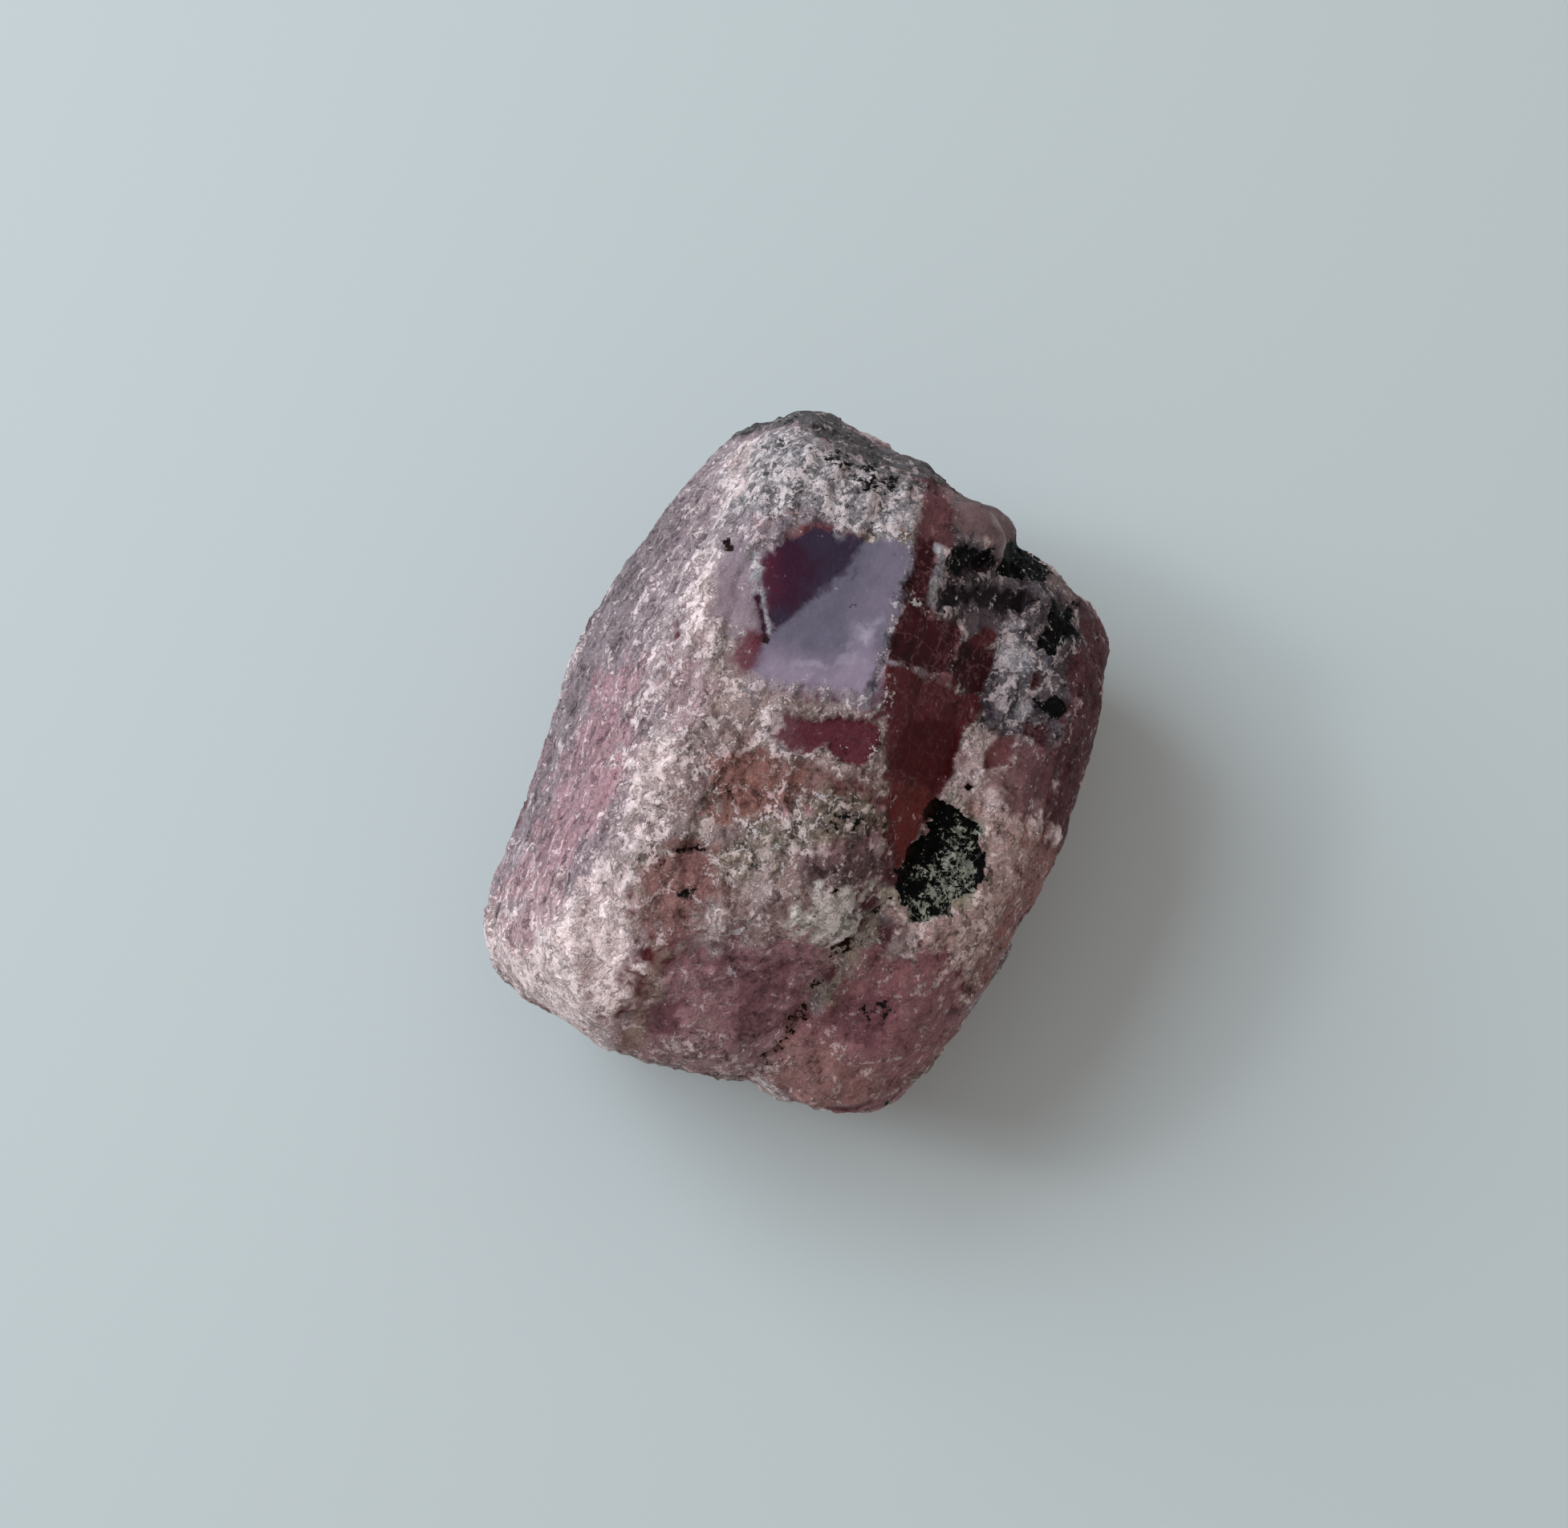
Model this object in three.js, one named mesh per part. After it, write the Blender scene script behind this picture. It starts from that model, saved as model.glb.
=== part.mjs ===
// A rough ruby crystal: a short barrel-shaped hexagonal crystal lying on one of its prism faces, with a
// lower crystal grown along its right side. Millimetres, +Z up. The c-axis runs along Y, and the origin is
// under the middle of the stone, where it rests. The crystals are one stone, so it is one closed solid.
import * as THREE from "three";
import { mergeVertices } from "three/addons/utils/BufferGeometryUtils.js";

const HEIGHT = 13.4; // from the face it lies on to the highest crest
const CORE = new THREE.Vector3(0, 0, 0.5 * HEIGHT); // a point inside both crystals
const DIVISIONS = 19; // cuts along each edge of the icosahedron that is spread over the stone
const WELD = 1e-4; // points closer than this are one

// A crystal face. turn is degrees about the c-axis, from straight up towards +X. lean is degrees towards +Y.
// reach is how far the face lies from CORE.
const face = (turn, lean, reach) => {
  const t = THREE.MathUtils.degToRad(turn);
  const l = THREE.MathUtils.degToRad(lean);
  const normal = new THREE.Vector3(Math.sin(t) * Math.cos(l), Math.sin(l), Math.cos(t) * Math.cos(l));
  return { normal, reach };
};

// The tall crystal. Each long face tapers towards both ends, as corundum barrels do.
const barrel = {
  wear: 22, // the higher, the sharper the edges
  faces: [
    face(-4, 3, 6.75),
    face(-4, -5, 6.75),
    face(46, 9, 6.0),
    face(69, -16, 6.2),
    face(-58, 7, 7.2),
    face(-60, -6, 7.0),
    face(-116, 8, 7.4),
    face(-116, -5, 7.1),
    face(118, 0, 6.9),
    face(180, 0, 6.95),
    face(-6, 37, 9.8),
    face(42, 55, 9.2),
    face(-90, 88, 9.8),
    face(180, 70, 9.7),
    face(-75, 39, 10.75),
    face(31, -30, 7.9),
    face(-60, -60, 11.0),
    face(90, -82, 10.85),
    face(90, -48, 8.8),
    face(170, -78, 10.1),
  ],
};

// The lower crystal along the right side, which ends in a blunt lobe.
const ledge = {
  wear: 24,
  faces: [
    face(18, 9, 5.4),
    face(15, -26, 6.6),
    face(62, 6, 7.75),
    face(62, -8, 7.8),
    face(115, 5, 7.6),
    face(118, -5, 7.7),
    face(180, 0, 6.95),
    face(-60, 0, 4.2),
    face(-118, 0, 5),
    face(60, 76, 8.8),
    face(160, 70, 8.9),
    face(70, 48, 9.6),
    face(90, -78, 10.6),
    face(90, -32, 10.6),
    face(150, -74, 9.7),
    face(-90, -46, 4.7),
  ],
};

const crystals = [barrel, ledge];

// Dents and knobs along a line on the surface: across is the full width, rise is outwards.
const band = (from, to, across, rise) => {
  const line = new THREE.Line3(new THREE.Vector3(...from), new THREE.Vector3(...to));
  return { line, radius: 0.5 * across, rise };
};
const bands = [
  band([5.2, -0.9, 11.0], [5.6, -2.2, 11.0], 3.0, -0.7), // the pocket that holds the black mineral
  band([1.4, 7.4, 11.8], [2.2, 7.9, 11.2], 2.2, 0.4), // a knob of crystal at the top of the right side
];

// How far the stone reaches from CORE in a direction. The sum of powers rounds the edges between faces.
function reachAlong(direction, crystal) {
  let sum = 0;
  for (const { normal, reach } of crystal.faces) {
    sum += Math.max(0, direction.dot(normal) / reach) ** crystal.wear;
  }
  return sum ** (-1 / crystal.wear);
}

function stoneGeometry() {
  const geometry = new THREE.IcosahedronGeometry(1, DIVISIONS);
  const position = geometry.getAttribute("position");
  const direction = new THREE.Vector3();
  const point = new THREE.Vector3();
  const nearest = new THREE.Vector3();
  for (let i = 0; i < position.count; i++) {
    direction.fromBufferAttribute(position, i).normalize();
    const reach = Math.max(...crystals.map((crystal) => reachAlong(direction, crystal)));
    point.copy(direction).multiplyScalar(reach).add(CORE);
    for (const { line, radius, rise } of bands) {
      line.closestPointToPoint(point, true, nearest);
      const share = Math.max(0, 1 - (nearest.distanceTo(point) / radius) ** 2);
      point.addScaledVector(direction, rise * share);
    }
    if (point.z < 0) {
      // Below, the stone is worn flat where it rests.
      point.copy(direction).multiplyScalar(-CORE.z / direction.z).add(CORE).setZ(0);
    }
    position.setXYZ(i, point.x, point.y, point.z);
  }
  geometry.deleteAttribute("normal");
  geometry.deleteAttribute("uv");
  const welded = mergeVertices(geometry, WELD);
  welded.computeBoundingBox();
  const middle = welded.boundingBox.getCenter(new THREE.Vector3());
  welded.translate(-middle.x, -middle.y, 0);
  welded.computeVertexNormals();
  return welded;
}

const stone = new THREE.Mesh(
  stoneGeometry(),
  new THREE.MeshStandardMaterial({ color: 0x94686c, roughness: 0.5, metalness: 0 }),
);
stone.name = "ruby_crystal";

const part = new THREE.Group();
part.add(stone);
export default part;
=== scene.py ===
import math

import bmesh
import bpy
import numpy as np
from mathutils import Matrix, Vector, noise


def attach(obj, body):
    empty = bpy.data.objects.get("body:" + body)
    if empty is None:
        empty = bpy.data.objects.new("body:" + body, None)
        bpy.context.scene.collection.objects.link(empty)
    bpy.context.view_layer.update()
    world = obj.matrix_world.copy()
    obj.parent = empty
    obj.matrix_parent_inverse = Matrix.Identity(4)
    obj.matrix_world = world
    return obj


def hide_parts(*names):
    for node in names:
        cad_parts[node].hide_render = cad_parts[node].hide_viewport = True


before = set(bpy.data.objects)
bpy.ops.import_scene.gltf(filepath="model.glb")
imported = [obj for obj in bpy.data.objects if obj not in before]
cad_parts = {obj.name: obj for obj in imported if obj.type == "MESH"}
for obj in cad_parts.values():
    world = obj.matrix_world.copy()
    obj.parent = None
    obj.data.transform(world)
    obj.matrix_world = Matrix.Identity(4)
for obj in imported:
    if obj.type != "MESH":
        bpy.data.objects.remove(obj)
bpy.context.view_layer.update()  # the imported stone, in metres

millimetre = 0.001
noiseSeed = 7
noise.seed_set(noiseSeed)  # the wobble comes out the same every time


def colour(code):
    # a linear colour from a screen colour such as "a0b0c0"
    screen = [int(code[i:i + 2], 16) / 255 for i in (0, 2, 4)]
    linear = [c / 12.92 if c <= 0.04045 else ((c + 0.055) / 1.055) ** 2.4 for c in screen]
    return (*linear, 1)


def growth(tint, fleck, gap, streak, gloss=0.0, vein=0.0):
    # one kind of surface: its colour in white light, how much of it pale flecks cover, how much painted
    # shade lies in gaps, how far its grains are drawn out along the crystal, how glassy it is and how much
    # cleavage shows in it
    return np.array((*colour(tint)[:3], fleck, gap, streak, gloss, vein))


growthParts = ("fleck", "gap", "streak", "gloss", "vein")

growths = {
    "side": growth("a8939a", 0.4, 0.25, 1.0),
    "sideGrey": growth("948489", 0.42, 0.35, 0.9),
    "sidePink": growth("bd949c", 0.36, 0.12, 1.0),
    "ridge": growth("dfc9cb", 0.8, 0.2, 0.8),
    "white": growth("ffe0df", 0.9, 0.0, 0.7),
    "cap": growth("b3acb0", 0.8, 0.7, 0.15),
    "capEdge": growth("666163", 0.35, 0.65, 0.4),
    "crustMauve": growth("a8979f", 0.6, 0.35, 0.3),
    "capPink": growth("9a8484", 0.35, 0.35, 0.3),
    "middle": growth("b8a09b", 0.65, 0.35, 0.6),
    "dusty": growth("8a645e", 0.45, 0.55, 0.4),
    "russet": growth("a4736b", 0.42, 0.5, 0.5),
    "rose": growth("9a6a66", 0.42, 0.4, 0.4),
    "glow": growth("6c3442", 0.15, 0.1, 0.3, 0.4),
    "haze": growth("96828d", 0.2, 0.1, 0.4, 0.5),
    # the lavender tones are painted reflection: pale light mirrored by the glossy facet over its dark red
    "lavenderSheen": growth("6b6475", 0.0, 0.0, 0.3, 1.0),
    "lavenderSheenPale": growth("7f7485", 0.05, 0.0, 0.3, 1.0),
    "lavenderSheenLow": growth("968699", 0.05, 0.0, 0.3, 1.0),
    "lavenderEdge": growth("857c8a", 0.45, 0.7, 0.3, 0.5),
    "plum": growth("36122a", 0.03, 0.1, 0.3, 1.0),
    "plumRed": growth("531b2c", 0.05, 0.1, 0.3, 1.0),
    "plumGrey": growth("332639", 0.0, 0.05, 0.3, 1.0),
    "ruby": growth("400c16", 0.05, 0.3, 0.6, 0.9, 1.0),
    "rubyDeep": growth("48060d", 0.0, 0.2, 0.6, 0.9, 0.3),
    "rubyBlack": growth("380f17", 0.1, 0.5, 0.5, 0.7, 1.0),
    "rubyRose": growth("5e252b", 0.15, 0.35, 0.6, 0.7, 1.0),
    "rubyBrown": growth("6a2a26", 0.08, 0.35, 0.9, 0.6, 0.6),
    "redPatch": growth("5e2630", 0.1, 0.35, 0.4, 0.6, 0.3),
    "strip": growth("6f464a", 0.2, 0.35, 0.9, 0.5, 0.8),
    "nub": growth("7f6567", 0.15, 0.2, 0.3, 0.5),
    # painted highlight on the rounded nub
    "nubHighlight": growth("9c8a8d", 0.2, 0.1, 0.3, 0.7),
    "darkRow": growth("1d121a", 0.15, 0.6, 0.6, 0.5),
    "mauveRow": growth("6f6069", 0.4, 0.5, 0.5),
    "greyDark": growth("6e6369", 0.5, 0.75, 0.4),
    # a brighter painted reflection on the facet
    "lavenderSheenBright": growth("a89dae", 0.1, 0.0, 0.3, 1.0),
    "dark": growth("2a1c21", 0.28, 0.6, 0.5),
    "ribbon": growth("b2aab4", 0.5, 0.4, 0.4),
    "ash": growth("9a929b", 0.85, 0.95, 0.35),
    # pale flakes, also used once for a painted highlight on the rod
    "flakeAndHighlight": growth("cfcbd2", 0.6, 0.1, 0.35),
    "front": growth("b98b92", 0.36, 0.3, 0.35),
    "frontLow": growth("ba9698", 0.5, 0.4, 0.4),
    "frontBrown": growth("ad9186", 0.35, 0.3, 0.4),
    "plumPink": growth("7b4f57", 0.2, 0.35, 0.3, 0.2),
    "lobe": growth("a06f73", 0.36, 0.35, 0.4, 0.15),
    "lobeLow": growth("ac807e", 0.36, 0.35, 0.4, 0.1),
    "shelf": growth("deb9b4", 0.62, 0.45, 0.4),
    "shelfPale": growth("dcc2c1", 0.6, 0.35, 0.5),
    "shelfRed": growth("6a2c31", 0.15, 0.35, 0.6, 0.3),
    "edgeRed": growth("8d5c59", 0.35, 0.4, 0.6, 0.1),
    "rim": growth("62393f", 0.3, 0.45, 0.8, 0.2),
    "sage": growth("9d8c7e", 0.7, 0.8, 0.35),
    "sageWhite": growth("fbf2ea", 0.85, 0.5, 0.35),
    "sageRim": growth("b3a799", 0.45, 0.35, 0.4),
    "cream": growth("cbbfab", 0.5, 0.3, 0.4),
    "mauve": growth("75585b", 0.45, 0.6, 0.4),
}


def patch(outline, soft, strength, kind=None, ragged=0.8):
    # an area seen from above: corners in mm, how wide its edge fades, how strong it is, and how ragged
    return {"outline": outline, "soft": soft, "strength": strength, "kind": kind, "ragged": ragged}


def stroke(path, width, soft, strength, kind=None, ragged=0.8):
    # a band along a path seen from above, in mm
    return {"path": path, "width": width, "soft": soft, "strength": strength, "kind": kind,
            "ragged": ragged}


def spot(place, width, soft, strength, kind=None, ragged=0.8):
    # a dab, which is a very short stroke
    return stroke([place, (place[0] + 0.01, place[1])], width, soft, strength, kind, ragged)


facetOutline = [(-3.5, 4.6), (-2.9, 5.3), (-2.4, 5.8), (-1.0, 6.1), (0.1, 6.5), (0.6, 5.7), (0.8, 4.2),
                (1.0, 3.3), (1.1, 2.4), (0.9, 1.9), (0.2, 1.7), (-0.7, 1.4), (-1.7, 0.9), (-2.4, 1.1),
                (-2.4, 2.1), (-3.0, 2.9), (-3.5, 3.8)]
plumOutline = [(-2.8, 3.1), (-3.3, 3.8), (-3.5, 4.2), (-3.2, 4.7), (-2.9, 5.3), (-2.5, 5.8),
               (-1.0, 6.2), (-1.2, 5.0), (-1.55, 4.2), (-1.75, 3.5), (-1.95, 2.8), (-2.3, 2.2)]
stripOutline = [(-0.2, 8.6), (0.7, 8.4), (1.3, 7.3), (1.0, 6.5), (1.5, 5.1), (0.8, 5.1), (0.5, 6.0),
                (0.1, 7.2)]
blockOutline = [(0.85, 4.85), (1.6, 4.9), (2.3, 5.4), (2.6, 5.2), (2.6, 4.7), (2.8, 4.0), (2.3, 3.4),
                (1.6, 3.2), (1.1, 3.0), (0.9, 3.6)]
blockRightOutline = [(2.6, 4.8), (3.1, 5.3), (3.7, 5.5), (3.9, 4.6), (3.8, 3.9), (3.1, 3.7), (2.8, 4.0)]
blockLowOutline = [(1.1, 2.9), (2.3, 3.3), (3.4, 3.7), (3.9, 3.9), (4.1, 3.3), (3.9, 2.6), (4.1, 1.4),
                   (4.1, 0.3), (4.0, -2.1), (3.6, -2.0), (3.1, -1.2), (2.7, 0.0), (2.1, 0.8),
                   (1.7, 1.6)]
redPatchOutline = [(-1.2, 0.0), (-0.8, 0.35), (0.0, 0.5), (0.9, 1.0), (1.4, 1.3), (1.9, 1.0),
                   (2.0, 0.3), (1.7, -0.2), (1.2, -0.3), (0.6, -0.1), (0.2, -0.6), (-0.5, -0.8),
                   (-1.0, -0.5)]
darkRowOutline = [(1.5, 6.0), (2.1, 6.6), (2.9, 7.2), (3.6, 7.7), (4.1, 7.5), (3.8, 6.9), (3.3, 6.6),
                  (2.1, 5.8), (1.7, 5.3)]
pocketOutline = [(4.1, 0.5), (4.8, 0.5), (5.5, 0.2), (6.2, -0.3), (6.4, -1.0), (6.1, -1.6), (5.6, -2.0),
                 (6.0, -2.4), (5.5, -2.8), (5.0, -3.1), (4.5, -2.9), (4.1, -2.5), (4.0, -1.8),
                 (4.1, -0.6)]

# Colours on the upper side, painted in this order.
upperGrowth = [
    patch([(-9, 12), (-3, 12), (-4, 2), (-3, -7), (-9, -12)], 1.5, 1.0, "side"),
    patch([(-9.0, 9.0), (-6.2, 5.5), (-6.4, -0.4), (-6.1, -5.0), (-9.0, -7.0)], 0.9, 0.8, "sideGrey"),
    patch([(-6.5, -0.4), (-4.9, 0.8), (-3.9, -3.6), (-4.6, -7.2), (-6.6, -8.0)], 0.9, 0.9, "sidePink"),
    patch([(-3.6, 2.0), (-1.0, 1.2), (1.8, 1.6), (3.0, -0.6), (0.0, -1.6), (-3.0, -3.6), (-3.4, -1.0)],
          0.9, 0.9, "middle"),
    patch([(-3.6, -2.6), (-0.6, -2.0), (3.6, -2.6), (3.4, -5.3), (-0.5, -7.4), (-3.0, -6.4)],
          0.9, 0.7, "middle"),
    patch([(-1.2, -0.7), (2.4, -0.4), (3.1, -1.4), (0.6, -2.4), (-0.6, -2.2)], 0.8, 0.85, "dusty"),
    patch([(-2.2, -1.8), (-0.8, -0.8), (0.4, -1.2), (0.1, -2.6), (-1.4, -3.6)], 0.7, 1.0, "russet"),
    stroke([(-5.6, 7.4), (-4.9, 4.0), (-4.5, 1.6), (-3.7, -2.0)], 1.5, 1.3, 0.8, "ridge"),
    stroke([(-6.1, 7.2), (-5.5, 6.6), (-5.3, 5.9)], 0.8, 0.6, 0.9, "white"),
    stroke([(-4.8, 3.4), (-4.5, 2.3), (-4.0, 1.2)], 0.7, 0.7, 0.9, "white"),
    patch([(-4.6, 0.2), (-3.9, 0.9), (-3.0, 0.2), (-3.2, -1.2), (-4.2, -1.4)], 0.8, 0.5, "sidePink"),
    stroke([(-3.5, -2.6), (-3.3, -3.5), (-3.1, -4.3)], 1.2, 0.8, 1.0, "white"),
    stroke([(-3.4, -4.6), (-3.1, -6.0)], 1.2, 0.8, 0.7, "ridge"),
    patch([(-4.7, -6.9), (-2.9, -6.2), (-1.4, -7.2), (-1.2, -9.0), (-1.2, -12.0), (-7.5, -12.0),
           (-7.5, -8.2), (-6.2, -7.8)], 1.1, 1.0, "white"),
    patch([(-6.2, -8.3), (-5.2, -7.0), (-4.2, -6.5), (-4.3, -8.0), (-5.2, -9.0)],
          0.7, 0.75, "sidePink"),
    patch([(-7.0, 8.0), (-4.5, 8.9), (-0.6, 8.6), (0.3, 7.4), (0.0, 6.4), (-1.5, 6.0), (-3.2, 5.5),
           (-5.2, 5.4)], 0.7, 1.0, "cap"),
    patch([(-5.2, 5.6), (-4.3, 5.4), (-4.2, 4.6), (-5.0, 4.4)], 0.5, 0.8, "crustMauve"),
    stroke([(-6.0, 8.0), (-5.6, 7.2), (-5.3, 6.2)], 0.8, 0.6, 0.8, "white"),
    patch([(-3.2, 8.2), (-1.0, 8.1), (-0.9, 8.8), (-3.2, 8.8)], 0.5, 0.6, "capEdge"),
    patch([(-7.5, 8.6), (-4.6, 8.9), (-2.4, 8.7), (-0.6, 8.8), (0.2, 9.2), (0.6, 11.5), (-7.5, 11.5)],
          0.4, 1.0, "capEdge"),
    patch([(-2.7, -5.4), (-2.1, -4.6), (-0.9, -3.7), (-0.3, -3.8), (0.0, -5.0), (-0.7, -7.0),
           (-1.3, -7.3)], 0.8, 0.85, "rose"),
    patch([(0.4, -2.2), (1.9, -0.9), (3.1, -0.8), (2.1, -2.4), (-0.3, -4.9), (-0.9, -4.0)],
          0.7, 0.9, "sage"),
    patch([(1.2, -3.2), (2.9, -1.9), (3.7, -2.6), (2.1, -4.0)], 0.5, 0.9, "mauve"),
    patch([(1.9, -4.2), (3.4, -3.1), (3.8, -4.4), (2.6, -5.4), (1.9, -5.2)], 0.7, 1.0, "sageWhite"),
    patch([(1.6, -5.4), (2.2, -5.5), (2.4, -6.1), (1.6, -6.0)], 0.4, 0.6, "mauve"),
    patch([(-1.1, -7.6), (2.3, -5.0), (3.5, -5.0), (3.0, -8.4), (1.3, -12.0), (-1.3, -12.0)],
          0.6, 1.0, "front"),
    patch([(-1.6, -9.3), (1.0, -8.6), (3.0, -7.8), (3.0, -12.0), (-1.6, -12.0)], 0.8, 0.8, "frontLow"),
    patch([(-1.3, -7.2), (-0.7, -7.3), (-0.5, -9.5), (-0.9, -11.4), (-1.2, -9.0)],
          0.4, 0.8, "frontBrown"),
    patch([(-0.9, -8.8), (0.1, -8.2), (0.4, -9.1), (-0.2, -9.6)], 0.4, 0.9, "plumPink"),
    patch([(-0.9, -6.9), (0.7, -5.9), (1.2, -6.4), (-0.2, -7.3)], 0.6, 0.6, "plumPink"),
    patch([(1.4, -6.7), (2.6, -5.7), (2.9, -7.4), (2.4, -8.6), (1.5, -8.2)], 0.7, 0.7, "plumPink"),
    patch([(3.1, -8.0), (3.7, -4.6), (6.4, -3.2), (9.0, -5.7), (6.8, -8.5)], 0.6, 1.0, "lobe"),
    patch([(3.6, -6.9), (4.3, -5.3), (6.0, -5.4), (5.6, -6.9)], 0.7, 0.8, "plumPink"),
    patch([(4.4, -3.6), (5.4, -3.4), (5.6, -4.2), (4.8, -4.4)], 0.4, 0.9, "shelfPale"),
    patch([(3.0, -7.6), (6.0, -7.4), (9.0, -8.0), (7.0, -12.0), (2.9, -12.0)], 0.9, 1.0, "lobeLow"),
    stroke([(3.9, -3.6), (3.7, -4.9), (3.5, -6.3)], 0.5, 0.4, 0.7, "sageRim"),
    patch([(3.8, 1.2), (5.6, 1.4), (9.0, 1.0), (9.0, -3.6), (6.4, -3.6), (4.2, -3.2)],
          0.7, 1.0, "shelf"),
    patch([(6.9, 1.6), (9.0, 1.0), (9.0, -4.5), (7.2, -3.0), (7.1, -0.6)], 0.5, 0.8, "edgeRed"),
    patch([(3.9, 3.2), (5.0, 3.7), (5.9, 2.7), (6.2, 1.0), (4.1, 0.7)], 0.5, 0.95, "shelfPale"),
    patch([(4.8, 3.2), (5.4, 3.5), (5.7, 2.3), (4.9, 2.0), (4.8, 2.5)], 0.2, 0.9, "shelfRed"),
    patch([(5.5, 3.5), (6.7, 4.0), (7.3, 1.8), (6.2, 1.2), (5.3, 1.8)], 0.5, 0.75, "shelfRed"),
    patch([(0.6, 8.3), (0.3, 10.0), (3.2, 10.6), (2.9, 8.9), (2.8, 7.9), (2.4, 7.5), (1.9, 7.9),
           (1.3, 7.4)], 0.25, 1.0, "nub"),
    # a painted highlight running down the nub
    stroke([(1.8, 8.5), (2.2, 8.6), (2.4, 8.1)], 0.35, 0.4, 0.9, "nubHighlight"),
    patch([(1.0, 7.7), (1.9, 8.0), (2.7, 7.7), (3.0, 9.6), (5.6, 8.8), (6.4, 6.0), (6.4, 3.6),
           (5.4, 3.4), (4.2, 3.0), (2.6, 5.2), (1.5, 5.2)], 0.3, 1.0, "greyDark"),
    patch([(1.2, 7.5), (2.7, 7.8), (2.9, 7.2), (2.0, 6.5), (1.2, 6.3)], 0.4, 1.0, "dark"),
    patch(darkRowOutline, 0.25, 1.0, "darkRow"),
    patch([(2.1, 5.6), (3.3, 6.4), (4.0, 6.9), (4.3, 6.6), (3.8, 6.1), (2.9, 5.7), (2.4, 5.5)],
          0.3, 1.0, "mauveRow"),
    patch([(3.4, 6.0), (4.4, 6.6), (4.7, 6.0), (5.3, 6.1), (5.7, 5.9), (5.2, 4.7), (5.5, 3.6),
           (4.3, 3.4), (4.1, 4.7), (3.8, 5.3)], 0.35, 1.0, "ash"),
    spot((4.15, 5.6), 0.7, 0.3, 0.9, "flakeAndHighlight"),
    spot((5.1, 4.2), 0.5, 0.25, 0.9, "flakeAndHighlight"),
    spot((4.4, 3.7), 0.5, 0.3, 0.8, "mauveRow"),
    patch([(4.9, 5.4), (5.2, 5.4), (5.3, 5.1), (5.1, 4.7)], 0.15, 1.0, "ruby"),
    patch([(5.4, 3.9), (6.0, 4.2), (6.2, 3.4), (5.5, 3.4)], 0.25, 0.9, "rubyBlack"),
    stroke([(2.0, 6.75), (2.5, 7.15), (3.0, 7.5), (3.9, 7.85)], 0.14, 0.25, 0.9, "ribbon"),
    spot((5.4, 5.4), 0.12, 0.15, 1.0, "flakeAndHighlight"),
    spot((5.0, 6.6), 0.15, 0.2, 0.8, "flakeAndHighlight"),
    spot((4.6, 5.2), 0.3, 0.3, 0.9, "flakeAndHighlight"),
    spot((4.8, 4.6), 0.3, 0.3, 0.9, "darkRow"),
    spot((4.3, 4.6), 0.2, 0.3, 0.8, "darkRow"),
    stroke([(3.6, 6.3), (4.2, 6.5)], 0.12, 0.25, 0.8, "flakeAndHighlight"),
    patch([(3.9, 8.2), (4.3, 9.8), (6.0, 9.6), (5.6, 8.4), (4.9, 8.5)], 0.4, 1.0, "capPink"),
    patch([(5.6, 8.7), (9.0, 9.0), (9.0, 0.4), (7.2, 1.9), (6.6, 3.6), (6.2, 5.2), (5.9, 7.2)],
          0.5, 1.0, "rim"),
    # the facet: lavender painted reflection over its glossy dark red, and the dark plum where it mirrors no
    # light
    patch(facetOutline, 0.12, 1.0, "lavenderSheen"),
    patch([(-0.3, 6.4), (0.6, 6.5), (0.8, 4.5), (0.2, 2.8), (-0.4, 4.2)],
          1.2, 0.9, "lavenderSheenPale", 0.1),
    patch([(-2.2, 1.8), (-0.4, 2.1), (0.4, 3.0), (1.3, 3.2), (1.2, 1.5), (-2.2, 0.8)],
          1.2, 1.0, "lavenderSheenLow", 0.1),
    patch(plumOutline, 0.15, 1.0, "plumGrey", 0.3),
    stroke([(-1.65, 4.1), (-1.3, 4.9), (-1.0, 5.8)], 0.3, 0.5, 0.7, "plumGrey"),
    patch([(-3.6, 4.8), (-2.9, 5.4), (-2.2, 5.1), (-1.9, 4.3), (-2.0, 3.4), (-2.4, 2.8), (-3.0, 3.2),
           (-3.5, 3.9)], 0.9, 1.0, "plum", 0.4),
    patch([(-3.5, 4.3), (-3.1, 4.4), (-2.7, 3.7), (-2.6, 2.9), (-3.2, 3.3)], 0.7, 0.8, "plumRed", 0.2),
    patch([(-4.7, 4.3), (-3.8, 5.0), (-3.55, 4.3), (-3.4, 3.8), (-2.9, 3.1), (-2.3, 2.3), (-3.3, 1.6),
           (-4.0, 2.3), (-4.6, 3.5)], 0.4, 0.9, "haze"),
    patch([(-3.0, 2.1), (-2.4, 2.1), (-2.2, 1.3), (-2.5, 0.8), (-3.0, 1.0)], 0.5, 0.9, "glow", 0.4),
    stroke([(-3.9, 4.3), (-3.55, 4.9), (-3.2, 5.5), (-2.7, 6.1), (-1.0, 6.5)],
           0.5, 0.15, 1.0, "crustMauve"),
    stroke([(-1.9, 0.7), (-0.5, 1.15), (0.9, 1.65)], 0.3, 0.6, 0.8, "crustMauve"),
    # brighter spots and lines of painted reflection on the facet
    spot((0.1, 3.4), 0.4, 0.6, 0.7, "lavenderSheenBright", 0.4),
    stroke([(0.1, 3.2), (0.45, 4.1)], 0.08, 0.3, 0.7, "lavenderSheenBright", 0.4),
    stroke([(-1.3, 1.7), (-0.9, 1.95), (-0.3, 2.05), (0.2, 2.8)], 0.12, 0.3, 0.5, "lavenderSheenBright"),
    stroke([(0.25, 6.5), (0.6, 5.3), (0.75, 4.2), (0.9, 3.2), (1.05, 2.3), (1.0, 1.5)],
           0.34, 0.15, 1.0, "lavenderEdge"),
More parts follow.
